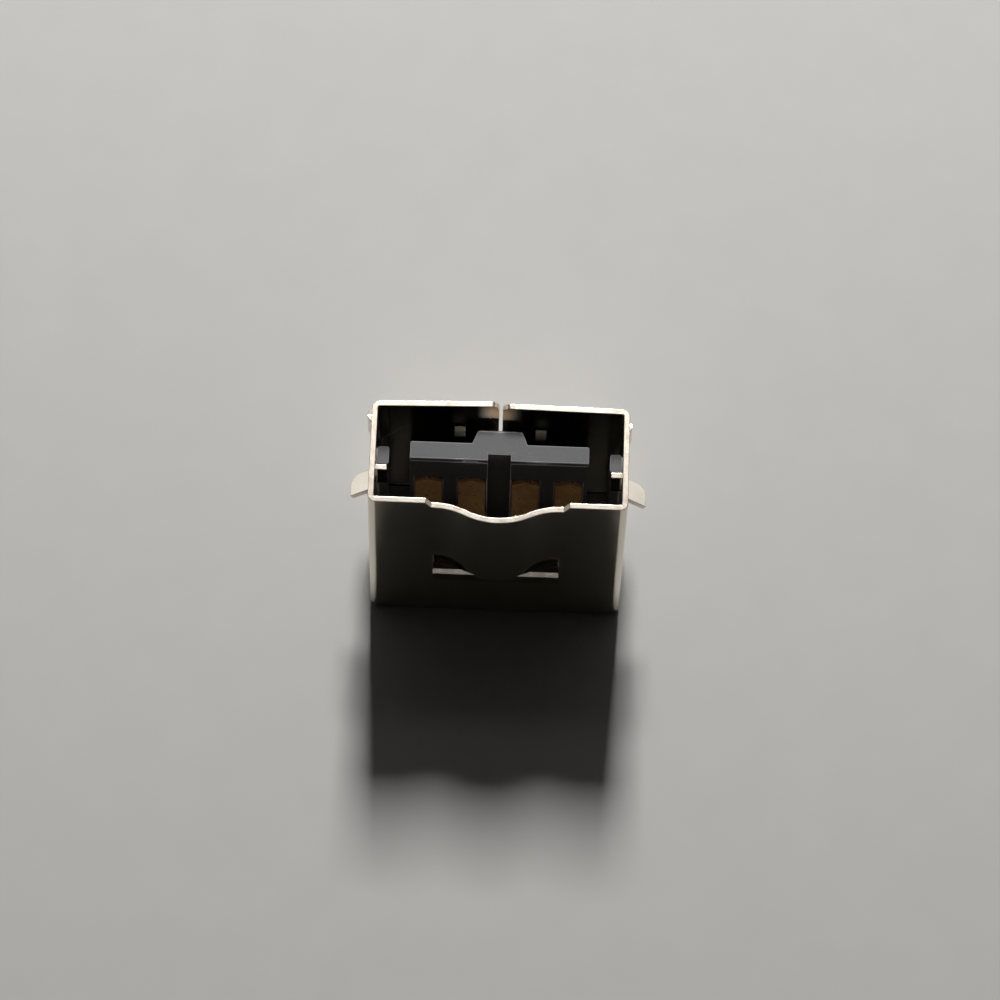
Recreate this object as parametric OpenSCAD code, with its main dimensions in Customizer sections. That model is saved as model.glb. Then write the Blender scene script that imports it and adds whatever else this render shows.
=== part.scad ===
// Board-mounted dc power socket: a folded sheet shell with a keyed wall, a moulded insulator with a
// tongue, and four sprung contacts with solder tails.
// The mouth faces +Z, the keyed wall faces -Y and the seam wall, which lies on the board, faces +Y.
// The origin is the middle of the rear end, on which the socket stands.

/* [Shell] */
// Outside width across the side walls
shell_w = 13.1; // [12.4:0.1:15]
// Outside height from the keyed wall to the seam wall
shell_h = 5.72; // [5.4:0.02:6.6]
// Length from the rear end to the mouth
shell_l = 12.4; // [11.8:0.1:15]
// Thickness of the sheet
sheet_t = 0.3; // [0.22:0.01:0.36]
// Inside radius of the sheet's bends
bend_r = 0.1; // [0.06:0.01:0.18]

/* [Seam] */
// Gap of the butt seam
seam_gap = 0.18; // [0.1:0.01:0.4]
// Outward bow of the left half of the seam wall at the seam
seam_bow_left = 0.18; // [0.04:0.01:0.25]
// Outward bow of the right half of the seam wall at the seam
seam_bow_right = 0.08; // [0.04:0.01:0.25]
// Radius of the sheet's corners where the seam meets the mouth
seam_corner_r = 0.4; // [0.1:0.05:0.6]

/* [Key] */
// Outward depth of the key bulge
key_depth = 0.74; // [0.5:0.02:1]
// Width of the key bulge between its feet
key_w = 6.4; // [5.8:0.1:7.2]
// Radius that the bulge's crest has over its feet, so that their arcs cross
crest_flat = 0.02; // [0.01:0.01:0.06]
// Length of the key bulge from the mouth plane
key_l = 7; // [6:0.1:7.6]
// Depth to which the bulge's crest reaches into the run-out plate
key_toe = 0.25; // [0.2:0.01:0.3]
// Width of the lanced run-out plate below the bulge
runout_w = 6.5; // [5:0.1:7]
// Length of the run-out plate along the shell
runout_l = 1.9; // [1.4:0.1:2.1]
// Outward lean of the run-out plate
runout_angle = 17; // [14:1:20]
// Width over which the run-out plate stays joined to the bulge
runout_join_w = 2.2; // [1.6:0.1:2.8]
// Height of the slits between the bulge's flanks and the run-out plate
slit_h = 0.12; // [0.08:0.01:0.2]

/* [Mouth step] */
// Width of the step in the keyed wall's mouth edge
step_w = 7.24; // [6.6:0.02:8]
// Depth of the step below the mouth plane
step_d = 0.49; // [0.2:0.01:0.8]
// Run of the step's slanted ends
step_run = 0.3; // [0.1:0.05:0.5]

/* [Side tabs] */
// Width of each outward side tab
tab_w = 1.15; // [0.8:0.05:1.5]
// Outward reach of each side tab
tab_reach = 1.05; // [0.7:0.05:1.3]
// Angle of each side tab away from its wall
tab_angle = 48; // [35:1:60]
// Depth of the side tabs' bend below the mouth plane
tab_depth = 3.8; // [3.6:0.1:5]
// Place of the side tabs along the height of the side walls
tab_y = 0.33; // [0.1:0.01:0.6]
// Radius of the side tabs' outer corner towards the seam wall
tab_corner_r = 0.5; // [0.2:0.05:0.7]

/* [Rail flanges] */
// Inward reach of the flanges that hold the insulator's rails
flange_reach = 0.55; // [0.4:0.01:0.7]
// Length of the flanges along the shell
flange_l = 1.5; // [1:0.05:1.7]

/* [Seam stops] */
// Distance of the seam stops from the seam
stop_x = 2.08; // [1.7:0.02:2.6]
// Width of each seam stop
stop_w = 0.6; // [0.4:0.02:0.8]
// Inward reach of each seam stop
stop_reach = 0.42; // [0.3:0.01:0.5]
// Angle of each seam stop away from the seam wall
stop_angle = 45; // [40:1:60]
// Depth of the seam stops' bend below the mouth plane
stop_depth = 2.1; // [1.5:0.05:2.6]

/* [Board legs] */
// Width of each board leg along the shell
leg_w = 1.6; // [1.2:0.05:2]
// Length of each board leg past the seam wall
leg_l = 2.7; // [2.6:0.05:3]
// Depth of the board legs below the mouth plane
leg_depth = 4.9; // [4:0.05:5.4]
// Sideways kink of the left leg, which grips the board hole
leg_kink_left = 0.4; // [0.25:0.01:0.42]
// Sideways kink of the right leg
leg_kink_right = 0.3; // [0.25:0.01:0.42]
// Slant of the kink
leg_angle = 40; // [36:1:44]
// Straight part of the leg before the kink
leg_root = 1; // [0.8:0.05:1.1]
// Taper at each side of a leg's tip
leg_taper = 0.5; // [0.1:0.05:0.55]

/* [Rear clips] */
// Width of the clips folded over the insulator's rear end
clip_w = 2; // [1.2:0.1:2.6]
// Inward reach of the clips
clip_reach = 1.1; // [0.7:0.05:1.4]

/* [Stop dimples] */
// Radius of the dimples that stop the insulator's front end
dimple_r = 0.6; // [0.5:0.05:0.8]
// Inward reach of the dimples
dimple_d = 0.2; // [0.12:0.01:0.24]
// Distance of the dimples from the middle towards the keyed wall
dimple_y = 1.3; // [1:0.05:1.6]

/* [Insulator] */
// Length of the rear block
block_l = 3.4; // [2.6:0.1:3.4]
// Width of the tongue
tongue_w = 9.1; // [8.8:0.1:9.6]
// Thickness of the tongue
tongue_t = 1.06; // [0.8:0.02:1.2]
// Place of the tongue's middle plane along the height
tongue_y = 0.6; // [0.4:0.02:0.7]
// Depth of the tongue's end below the mouth plane
tongue_recess = 1; // [0.6:0.05:1.4]
// Chamfer along the tongue's end
tongue_chamfer = 0.12; // [0.05:0.01:0.2]
// Radius of the tongue's long edges
tongue_corner_r = 0.12; // [0.05:0.01:0.3]
// Width of the ridge at the tongue
ridge_w = 2.8; // [2.2:0.05:3]
// Width of the ridge at its top
ridge_top_w = 2.2; // [1.6:0.05:2.2]
// Height of the ridge above the tongue
ridge_h = 0.82; // [0.4:0.02:0.9]
// Cut of the ridge's top corners
ridge_corner = 0.15; // [0.05:0.01:0.25]
// Width of the groove on the tongue's contact side
groove_w = 1.15; // [0.8:0.05:1.2]
// Depth of the groove
groove_d = 0.45; // [0.2:0.01:0.5]
// Width of each side rail
rail_w = 0.6; // [0.5:0.02:0.8]
// Thickness of each side rail
rail_t = 1; // [0.7:0.02:1.1]
// Depth of the rails' ends below the mouth plane
rail_recess = 1.65; // [1.4:0.05:1.8]

/* [Contacts] */
// Width of each contact blade
contact_w = 1.4; // [1.1:0.02:1.46]
// Thickness of the contact strip
contact_t = 0.25; // [0.18:0.01:0.3]
// Distance of the inner contacts from the middle
contact_inner_x = 1.375; // [1.34:0.005:1.45]
// Distance between neighbouring contacts on one side
contact_pitch = 2.21; // [2:0.01:2.3]
// Height of a blade's flats above the tongue's face
contact_proud = 0.1; // [0.04:0.01:0.16]
// Depth of the blades' points below the mouth plane
tip_depth = 2.95; // [2.6:0.05:3.4]
// Height of the blades' gabled points
tip_point = 0.4; // [0.2:0.05:0.6]
// Length of the flat part of a blade behind its point
blade_flat = 1.7; // [1.2:0.1:2]
// Length of each slope of the sprung bow
bow_slope = 1.35; // [1:0.05:1.4]
// Slant of the sprung bow
bow_angle = 14; // [8:1:16]
// Inside radius of the bow's bends
bow_r = 0.6; // [0.4:0.05:0.8]
// Width of each solder tail
tail_w = 0.7; // [0.5:0.02:0.9]
// Length of each solder tail past the seam wall
tail_l = 2.4; // [1.6:0.1:3]
// Height of the tails above the rear end
tail_z = 0.25; // [0.15:0.01:0.4]
// Inside radius of the tails' bend
tail_r = 0.3; // [0.2:0.05:0.5]
// Taper at each side of a tail's tip
tail_taper = 0.18; // [0.05:0.01:0.22]

/* [Fits] */
// Clearance between the pieces
fit_gap = 0.03; // [0.02:0.01:0.06]
// Clear space round a strip of sheet that is bent well out of its wall
lance_relief = 0.1; // [0.06:0.01:0.14]
// Lap of a strip that only leans out of its wall over the window behind it, so that no slit shows
shear_lap = 0.02; // [0.01:0.01:0.04]

/* [Hidden] */
$fn = 64;

// Shell
half_w = shell_w / 2;
half_h = shell_h / 2;
corner_r = bend_r + sheet_t;
// Depth of sheet that each bent strip shares with its wall
root = 0.2;
// Reach of a cutter past the face that it cuts
past = 1;
// Share of a bend that each of its two sectors covers
bend_lap = 0.6;

// Key bulge: two foot arcs and a slightly flatter crest arc, taken at the middle of the sheet
key_r = (pow(key_w / 2, 2) + pow(key_depth, 2)) / (4 * key_depth);
key_angle = asin(key_w / 4 / key_r);
key_z = shell_l - key_l;
runout_z = key_z - runout_l;
runout_window = key_w / 2 + shear_lap;
runout_straight = (runout_l - bend_r * sin(runout_angle)) / cos(runout_angle);

// Side tabs
tab_z = shell_l - tab_depth;
tab_straight = tab_reach / sin(tab_angle);
tab_drop = bend_r + tab_straight + sheet_t;

// Seam wall
seam_half = half_w - corner_r;
stop_z = shell_l - stop_depth;
stop_straight = (stop_reach - bend_r * (1 - cos(stop_angle))) / sin(stop_angle);

// Board legs
leg_z = shell_l - leg_depth - leg_w / 2;
leg_bend = bend_r + sheet_t / 2;
leg_window_w = sheet_t + fit_gap + rail_w / 2;
// Inside and outside radius of one bend together
leg_sweep = 2 * leg_bend + sheet_t;

// Stop dimples
dimple_x = half_w - sheet_t - dimple_d + dimple_r;
dimple_rise = sqrt(pow(dimple_r, 2) - pow(dimple_r - dimple_d + fit_gap, 2));
dimple_z = block_l + fit_gap + dimple_rise;

// Insulator
rail_x = half_w - sheet_t - fit_gap;
rail_y0 = tongue_y - rail_t / 2;
// Edges of the moulding that lie in the sheet's bends
bend_edge = bend_r + fit_gap;
rail_top = shell_l - rail_recess;
tongue_face = tongue_y - tongue_t / 2;
tongue_top = shell_l - tongue_recess;
flange_y = rail_y0 - fit_gap;
flange_z = rail_top - flange_l / 2;
flange_blank = (bend_r + sheet_t / 2) * PI / 2 + flange_reach - bend_r;

// Contacts
contact_face = tongue_face - contact_proud;
contact_outer_x = contact_inner_x + contact_pitch;
tip_z = shell_l - tip_depth;
bow_l = 2 * (2 * bow_r + contact_t) * sin(bow_angle) + 2 * bow_slope * cos(bow_angle);
blade_end = block_l / 2;
blade_last = tip_z - blade_flat - bow_l - blade_end;
tail_drop = blade_end - tail_z - contact_t - tail_r;
tail_run = half_h + tail_l - contact_face - contact_t - tail_r;
slot_top = tip_z + fit_gap;
tail_port_x = contact_outer_x + tail_w / 2 + 2 * fit_gap;
tail_port_h = tail_z + contact_t + tail_r + 2 * fit_gap;

// Colours
nickel = "#d9d3c6";
black = "#232324";
gilt = "#b58a45";

// Part of a ring between two angles, up to a right angle apart
module sector(r, t, from, to) {
    far = 2 * (r + t);
    intersection() {
        difference() {
            circle(r + t);
            circle(r);
        }
        polygon([[0, 0], [far * cos(from), far * sin(from)], [far * cos(to), far * sin(to)]]);
    }
}

// Edge view of a bent strip. Each step is a straight length, then a bend angle and its inside radius;
// a positive bend turns towards the face at y = t. Each bend is two sectors that lap at its middle.
module strip_edge(steps, t, i = 0) {
    if (i < len(steps)) {
        run = steps[i][0];
        angle = steps[i][1];
        r = steps[i][2];
        square([run, t]);
        if (angle > 0)
            translate([run, t + r]) {
                sector(r, t, -90, bend_lap * angle - 90);
                rotate(angle) {
                    sector(r, t, -90 - bend_lap * angle, -90);
                    translate([0, -t - r]) strip_edge(steps, t, i + 1);
                }
            }
        if (angle < 0)
            translate([run, -r]) {
                sector(r, t, 90 + bend_lap * angle, 90);
                rotate(angle) {
                    sector(r, t, 90, 90 - bend_lap * angle);
                    translate([0, r]) strip_edge(steps, t, i + 1);
                }
            }
    }
}

// A bent strip of sheet that sets off from a point; across points from its first face to its second
module strip(steps, t, w, at, along, across) {
    side = cross(along, across);
    multmatrix([[along.x, across.x, side.x, at.x],
                [along.y, across.y, side.y, at.y],
                [along.z, across.z, side.z, at.z]])
        linear_extrude(w, center = true) strip_edge(steps, t);
}

// A box given by its low and high corners
module span(low, high) {
    translate(low) cube(high - low);
}

// A rectangle with round corners
module round_rect(w, h, r) {
    square([w - 2 * r, h], center = true);
    square([w, h - 2 * r], center = true);
    for (x = [-1, 1], y = [-1, 1]) translate([x * (w / 2 - r), y * (h / 2 - r)]) circle(r);
}

// An outline in the plane of X and Z, extruded from one Y to another
module along_y(y0, y1) {
    translate([0, y1, 0]) rotate([90, 0, 0]) linear_extrude(y1 - y0) children();
}

// An outline in the plane of Y and Z, extruded along X on both sides of the middle
module across_x(w) {
    rotate([90, 0, 90]) linear_extrude(w, center = true) children();
}

function seam_bow(side) = side < 0 ? seam_bow_left : seam_bow_right;
function seam_tilt(side) = -side * atan(seam_bow(side) / seam_half);

// Outline of the tube's outer face, or of its inner face when inset by the sheet
module tube_outline(inset, r) {
    w = shell_w - 2 * inset;
    h = shell_h - 2 * inset;
    round_rect(w, h, r);
    polygon([[-seam_half, 0], [-seam_half, h / 2], [0, h / 2 + seam_bow_left], [0, h / 2 + seam_bow_right],
             [seam_half, h / 2], [seam_half, 0]]);
}

// Outline under the key bulge, for the face that lies out from the middle of the sheet
module key_outline(out) {
    join_y = key_depth - key_r + (key_r + out) * cos(key_angle);
    translate([0, -half_h + sheet_t / 2]) mirror([0, 1]) {
        difference() {
            translate([-key_w / 2, -sheet_t]) square([key_w, join_y + sheet_t]);
            for (side = [-1, 1]) translate([side * key_w / 2, key_r]) circle(key_r - out);
        }
        intersection() {
            translate([0, key_depth - key_r - crest_flat]) circle(key_r + crest_flat + out);
            translate([-key_w / 2, -sheet_t]) square([key_w, key_depth + 2 * sheet_t]);
        }
    }
}

// Section of the tube behind the key bulge
module plain_section() {
    difference() {
        tube_outline(0, corner_r);
        tube_outline(sheet_t, bend_r);
    }
}

// Section of the tube through the key bulge
module keyed_section() {
    difference() {
        union() {
            tube_outline(0, corner_r);
            key_outline(sheet_t / 2);
        }
        tube_outline(sheet_t, bend_r);
        key_outline(-sheet_t / 2);
    }
}

// Slit and rounded mouth corners of the butt seam
module seam_cut() {
    y0 = half_h - 2 * sheet_t;
    y1 = half_h + seam_bow_left + seam_bow_right + past;
    span([-seam_gap / 2, y0, -past], [seam_gap / 2, y1, shell_l + past]);
    for (side = [-1, 1])
        along_y(y0, y1) translate([side * seam_gap / 2, shell_l]) mirror([side < 0 ? 1 : 0, 0])
            difference() {
                translate([-seam_gap / 2, -seam_corner_r])
                    square([seam_gap / 2 + seam_corner_r, seam_corner_r + past]);
                translate([seam_corner_r, -seam_corner_r]) circle(seam_corner_r);
            }
}

// Step in the keyed wall's mouth edge
module mouth_step() {
    top = step_w / 2;
    foot = top - step_run;
    low = shell_l - step_d;
    along_y(-half_h - key_depth - past, -half_h + 2 * sheet_t)
        polygon([[-foot, low], [foot, low], [top, shell_l], [top, shell_l + past], [-top, shell_l + past],
                 [-top, shell_l]]);
}

// Window and slits round the run-out plate
module runout_cuts() {
    y0 = -half_h - key_depth - past;
    y1 = -half_h + 2 * sheet_t;
    span([-runout_window, y0, runout_z], [runout_window, y1, key_z - key_toe]);
    span([-runout_window, y0, runout_z], [-runout_join_w / 2, y1, key_z + slit_h]);
    span([runout_join_w / 2, y0, runout_z], [runout_window, y1, key_z + slit_h]);
}

// Flat plate that leans out from the keyed wall up to the bulge's crest
module runout_plate() {
    strip([[root, -runout_angle, bend_r], [runout_straight, 0, 0]], sheet_t, runout_w,
          [0, -half_h, runout_z - root], [0, 0, 1], [0, 1, 0]);
}

// Windows left in a side wall by its tab and its flange
module side_windows(side) {
    x0 = side > 0 ? half_w - 2 * sheet_t : -half_w - past;
    x1 = x0 + 2 * sheet_t + past;
    span([x0, tab_y - tab_w / 2 - lance_relief, tab_z - tab_drop],
         [x1, tab_y + tab_w / 2 + lance_relief, tab_z]);
    span([x0, flange_y + bend_r - flange_blank - lance_relief, flange_z - flange_l / 2 - lance_relief],
         [x1, flange_y + bend_r, flange_z + flange_l / 2 + lance_relief]);
}

// Outward tab of a side wall, bent down from its upper edge, with one round corner
module side_tab(side) {
    intersection() {
        strip([[root, -tab_angle, bend_r], [tab_straight, 0, 0]], sheet_t, tab_w,
              [side * half_w, tab_y, tab_z + root], [0, 0, -1], [-side, 0, 0]);
        linear_extrude(shell_l) translate([side * (half_w + tab_reach), tab_y]) mirror([side < 0 ? 1 : 0, 0])
            difference() {
                translate([-past - tab_reach, -tab_w]) square([past + tab_reach, 2 * tab_w]);
                translate([-tab_corner_r, tab_w / 2 - tab_corner_r]) difference() {
                    square(tab_w);
                    circle(tab_corner_r);
                }
            }
    }
}

// Inward flange of a side wall, which bears on the insulator's rail
module rail_flange(side) {
    strip([[root, -90, bend_r], [flange_reach - bend_r, 0, 0]], sheet_t, flange_l,
          [side * (half_w - sheet_t), flange_y + bend_r + root, flange_z], [0, -1, 0], [side, 0, 0]);
}

// Places a child on the outer face of one half of the seam wall
module on_seam_half(side) {
    translate([0, half_h + seam_bow(side), 0]) rotate(seam_tilt(side)) translate([side * stop_x, 0, stop_z])
        children();
}

// Window left in the seam wall by a stop
module stop_window(side) {
    on_seam_half(side) span([shear_lap - stop_w / 2, -2 * sheet_t, -stop_straight - bend_r - sheet_t],
                            [stop_w / 2 - shear_lap, past, 0]);
}

// Inward stop of the seam wall, bent from its upper edge
module seam_stop(side) {
    on_seam_half(side) strip([[root, -stop_angle, bend_r], [stop_straight, 0, 0]], sheet_t, stop_w,
                             [0, -sheet_t, root], [0, 0, -1], [0, 1, 0]);
}

function leg_kink(side) = side < 0 ? leg_kink_left : leg_kink_right;
function leg_slant(side) = (leg_kink(side) - leg_sweep * (1 - cos(leg_angle))) / sin(leg_angle);

// Corner of the seam wall that a board leg leaves open, behind the rail
module leg_window(side) {
    x0 = side > 0 ? half_w - leg_window_w : -half_w - past;
    span([x0, half_h - corner_r, leg_z - leg_w / 2 - lance_relief],
         [x0 + leg_window_w + past, half_h + past, leg_z + leg_w / 2 + lance_relief]);
}

// Board leg in the plane of a side wall, kinked outwards, with a tapered tip
module board_leg(side) {
    y0 = half_h - corner_r - root;
    y1 = half_h + leg_l;
    slant = leg_slant(side);
    low = leg_z - leg_w / 2;
    high = leg_z + leg_w / 2;
    intersection() {
        strip([[half_h + leg_root, -leg_angle, leg_bend], [slant, 2 * leg_angle, leg_bend],
               [slant, -leg_angle, leg_bend], [leg_l, 0, 0]], sheet_t, leg_w + 2 * past,
              [side * half_w, 0, leg_z], [0, 1, 0], [-side, 0, 0]);
        across_x(shell_w + 4 * past)
            polygon([[y0, low], [y1 - 2 * leg_taper, low], [y1, low + leg_taper], [y1, high - leg_taper],
                     [y1 - 2 * leg_taper, high], [y0, high]]);
    }
}

// Ball that forms one face of a stop dimple
module dimple_ball(side, r) {
    mirror([side < 0 ? 1 : 0, 0, 0]) translate([dimple_x, -dimple_y, dimple_z]) sphere(r);
}

// Inner face of a stop dimple, raised from a side wall
module dimple_crown(side) {
    x0 = side > 0 ? half_w - 2 * sheet_t : -half_w + sheet_t / 2;
    intersection() {
        dimple_ball(side, dimple_r);
        span([x0, -half_h, 0], [x0 + 1.5 * sheet_t, half_h, shell_l]);
    }
}

// Clip folded over the insulator's rear end
module rear_clip(side) {
    strip([[root, -90, bend_r], [clip_reach - bend_r, 0, 0]], sheet_t, clip_w,
          [side * (half_w - sheet_t), 0, corner_r + root], [0, 0, -1], [side, 0, 0]);
}

// Rear end of a side wall that the clip's fold replaces
module clip_window(side) {
    x0 = side > 0 ? half_w - 2 * sheet_t : -half_w - past;
    x1 = x0 + 2 * sheet_t + past;
    span([x0, -clip_w / 2 - lance_relief, -past], [x1, clip_w / 2 + lance_relief, corner_r]);
}

// Opening in the seam wall's rear end for the solder tails
module tail_port() {
    span([-tail_port_x, half_h - 2 * sheet_t, -past], [tail_port_x, half_h + past, tail_port_h]);
}

module shell() {
    color(nickel) {
        difference() {
            union() {
                linear_extrude(key_z - key_toe) plain_section();
                translate([0, 0, key_z - key_toe]) linear_extrude(key_l + key_toe) keyed_section();
                for (side = [-1, 1]) dimple_crown(side);
            }
            seam_cut();
            mouth_step();
            runout_cuts();
            tail_port();
            for (side = [-1, 1]) {
                side_windows(side);
                stop_window(side);
                leg_window(side);
                clip_window(side);
                dimple_ball(side, dimple_r - sheet_t);
            }
        }
        runout_plate();
        for (side = [-1, 1]) {
            side_tab(side);
            rail_flange(side);
            seam_stop(side);
            board_leg(side);
            rear_clip(side);
        }
    }
}

// Section of the tongue with its ridge and groove
module tongue_section() {
    seam_face = tongue_y + tongue_t / 2;
    foot = ridge_w / 2;
    crest = seam_face + ridge_h;
    crest_x = ridge_top_w / 2 - ridge_corner;
    flank = crest - ridge_corner;
    flank_x = ridge_top_w / 2 + (ridge_w - ridge_top_w) / 2 * ridge_corner / ridge_h;
    difference() {
        union() {
            translate([0, tongue_y]) round_rect(tongue_w, tongue_t, tongue_corner_r);
            polygon([[-foot, tongue_y], [foot, tongue_y], [foot, seam_face], [flank_x, flank],
                     [crest_x, crest], [-crest_x, crest], [-flank_x, flank], [-foot, seam_face]]);
        }
        translate([-groove_w / 2, tongue_face - past]) square([groove_w, groove_d + past]);
    }
}

// Side view of the tongue, with a chamfered end
module tongue_side() {
    top = tongue_top;
    back = tongue_y + tongue_t / 2 + ridge_h;
    polygon([[tongue_face, 0], [back, 0], [back, top - tongue_chamfer], [back - tongue_chamfer, top],
             [tongue_face + tongue_chamfer, top], [tongue_face, top - tongue_chamfer]]);
}

// Space in the moulding for one contact's blade and tail
module contact_space(x) {
    wide = contact_w / 2 + fit_gap;
    narrow = tail_w / 2 + fit_gap;
    front = contact_face - fit_gap;
    back = contact_face + contact_t + fit_gap;
    span([x - wide, front, blade_end - fit_gap], [x + wide, back, slot_top]);
    span([x - narrow, front, -past], [x + narrow, back, blade_end]);
    span([x - narrow, front, -past], [x + narrow, half_h + past, tail_port_h - fit_gap]);
}

// Recess for a rear clip, with room for the fold
module clip_space(side) {
    wide = clip_w / 2 + fit_gap + lance_relief;
    reach = half_w - sheet_t - clip_reach - fit_gap;
    high = sheet_t + fit_gap;
    along_y(-wide, wide) mirror([side < 0 ? 1 : 0, 0])
        polygon([[reach, -past], [half_w, -past], [half_w, high + bend_edge], [rail_x, high + bend_edge],
                 [rail_x - bend_edge, high], [reach, high]]);
}

module housing() {
    color(black) difference() {
        union() {
            linear_extrude(block_l) round_rect(2 * rail_x, shell_h - 2 * sheet_t - 2 * fit_gap, corner_r);
            intersection() {
                linear_extrude(tongue_top) tongue_section();
                across_x(shell_w) tongue_side();
            }
            for (side = [-1, 1])
                linear_extrude(rail_top) translate([side * (rail_x - rail_w / 2), tongue_y])
                    round_rect(rail_w, rail_t, bend_edge);
        }
        for (x = [-contact_outer_x, -contact_inner_x, contact_inner_x, contact_outer_x]) contact_space(x);
        for (side = [-1, 1]) clip_space(side);
    }
}

// One contact: a gabled blade with a sprung bow, then a narrow tail bent to the board
module contact(x) {
    point = contact_w / 2;
    y1 = half_h + tail_l;
    color(gilt) {
        intersection() {
            strip([[blade_flat, -bow_angle, bow_r], [bow_slope, 2 * bow_angle, bow_r],
                   [bow_slope, -bow_angle, bow_r], [blade_last, 0, 0]], contact_t, contact_w,
                  [x, contact_face, tip_z], [0, 0, -1], [0, 1, 0]);
            along_y(-shell_h, shell_h) translate([x, 0])
                polygon([[-point, 0], [point, 0], [point, tip_z - tip_point], [0, tip_z],
                         [-point, tip_z - tip_point]]);
        }
        intersection() {
            strip([[root + tail_drop, 90, tail_r], [tail_run, 0, 0]], contact_t, tail_w,
                  [x, contact_face, blade_end + root], [0, 0, -1], [0, 1, 0]);
            linear_extrude(shell_l) translate([x, 0])
                polygon([[-tail_w / 2, -shell_h], [tail_w / 2, -shell_h], [tail_w / 2, y1 - 2 * tail_taper],
                         [tail_w / 2 - tail_taper, y1], [tail_taper - tail_w / 2, y1],
                         [-tail_w / 2, y1 - 2 * tail_taper]]);
        }
    }
}

module outer_left_contact() contact(-contact_outer_x);
module inner_left_contact() contact(-contact_inner_x);
module inner_right_contact() contact(contact_inner_x);
module outer_right_contact() contact(contact_outer_x);

shell();
housing();
outer_left_contact();
inner_left_contact();
inner_right_contact();
outer_right_contact();
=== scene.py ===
"""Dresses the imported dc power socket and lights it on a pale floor, seen from above its mouth.

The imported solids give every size. Each class here takes one sub-assembly's solids, rounds the edges
that a press or a mould leaves round, gives them their finish and hands the piece back to the frame.
"""
import logging
import math
from dataclasses import dataclass
from enum import Enum
from functools import cache
from typing import Any

import bmesh
import bpy
from mathutils import Matrix, Vector
from mathutils.bvhtree import BVHTree


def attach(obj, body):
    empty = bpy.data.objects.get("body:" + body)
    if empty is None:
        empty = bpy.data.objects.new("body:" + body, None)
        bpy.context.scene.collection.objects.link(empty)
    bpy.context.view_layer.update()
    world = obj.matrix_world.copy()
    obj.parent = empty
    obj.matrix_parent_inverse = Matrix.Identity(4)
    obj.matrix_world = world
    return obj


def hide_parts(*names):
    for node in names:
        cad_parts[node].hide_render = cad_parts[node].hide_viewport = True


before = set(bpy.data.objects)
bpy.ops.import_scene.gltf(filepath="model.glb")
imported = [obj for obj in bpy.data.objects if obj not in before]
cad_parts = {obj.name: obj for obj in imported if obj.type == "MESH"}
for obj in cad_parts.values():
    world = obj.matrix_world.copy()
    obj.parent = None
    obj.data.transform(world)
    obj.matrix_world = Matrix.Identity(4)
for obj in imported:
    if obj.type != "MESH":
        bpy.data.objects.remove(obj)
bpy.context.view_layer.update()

MM = 0.001
BODY = "root"
# Layer of worn rounded edges, which the resin also paints paler as a highlight, and of the resin's
# up-facing ends painted paler as sheen.
WEAR_AND_SHEEN = "wear_and_sheen"
# Sockets of the Mix node, which holds one set for numbers and one for colours.
SHARE = 0
NUMBER_A, NUMBER_B, NUMBER_OUT = 2, 3, 0
COLOUR_A, COLOUR_B, COLOUR_OUT = 6, 7, 2

log = logging.getLogger("socket")


class Slot(Enum):
    """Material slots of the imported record."""

    SHELL = "shell"
    HOUSING = "housing"
    CONTACT = "contact"


def to_linear(colour: str) -> tuple[float, float, float, float]:
    """Turn an sRGB hex colour into a linear one.

    Args:
        colour: Colour written as #RRGGBB.

    Returns:
        Linear red, green, blue and an alpha of 1.
    """
    shares = [int(colour[i:i + 2], 16) / 255 for i in (1, 3, 5)]
    red, green, blue = (s / 12.92 if s <= 0.04045 else ((s + 0.055) / 1.055) ** 2.4 for s in shares)
    return red, green, blue, 1.0


def narrow_side(perimeter: float, area: float) -> float:
    """Return the short side of the rectangle that has a face's perimeter and area.

    Args:
        perimeter: Length round the face.
        area: Area of the face.

    Returns:
        The short side, in the unit of the perimeter.
    """
    half = perimeter / 2
    return (half - math.sqrt(max(half * half - 4 * area, 0.0))) / 2


def add_node(
    tree: bpy.types.NodeTree, kind: str, inputs: dict[str | int, Any] | None = None, **settings: Any
) -> bpy.types.Node:
    """Add a shader node with its settings and its inputs.

    Args:
        tree: Node tree that takes the node.
        kind: Blender's name for the type of node.
        inputs: A value for each input, or the output socket that feeds it.
        settings: The node's own properties.

    Returns:
        The new node.
    """
    node = tree.nodes.new(kind)
    for name, value in settings.items():
        setattr(node, name, value)
    for key, value in (inputs or {}).items():
        if isinstance(value, bpy.types.NodeSocket):
            tree.links.new(value, node.inputs[key])
        else:
            node.inputs[key].default_value = value
    return node


@dataclass(frozen=True)
class Finish:
    """A surface that starts from one colour, one roughness and a share of metal."""

    name: str
    colour: str
    roughness: float
    metallic: float = 0.0

    def begin(
        self,
    ) -> tuple[bpy.types.Material, bpy.types.NodeTree, bpy.types.Node, bpy.types.NodeSocket]:
        """Start a material with its plain values.

        Returns:
            The material, its node tree, its shader and the output with Object coordinates.
        """
        material = bpy.data.materials.new(self.name)
        material.use_nodes = True
        tree = material.node_tree
        shader = tree.nodes["Principled BSDF"]
        shader.inputs["Base Color"].default_value = to_linear(self.colour)
        shader.inputs["Roughness"].default_value = self.roughness
        shader.inputs["Metallic"].default_value = self.metallic
        place = add_node(tree, "ShaderNodeTexCoord").outputs["Object"]
        return material, tree, shader, place

    def material(self) -> bpy.types.Material:
        """Return the finished material."""
        return self.begin()[0]


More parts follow.
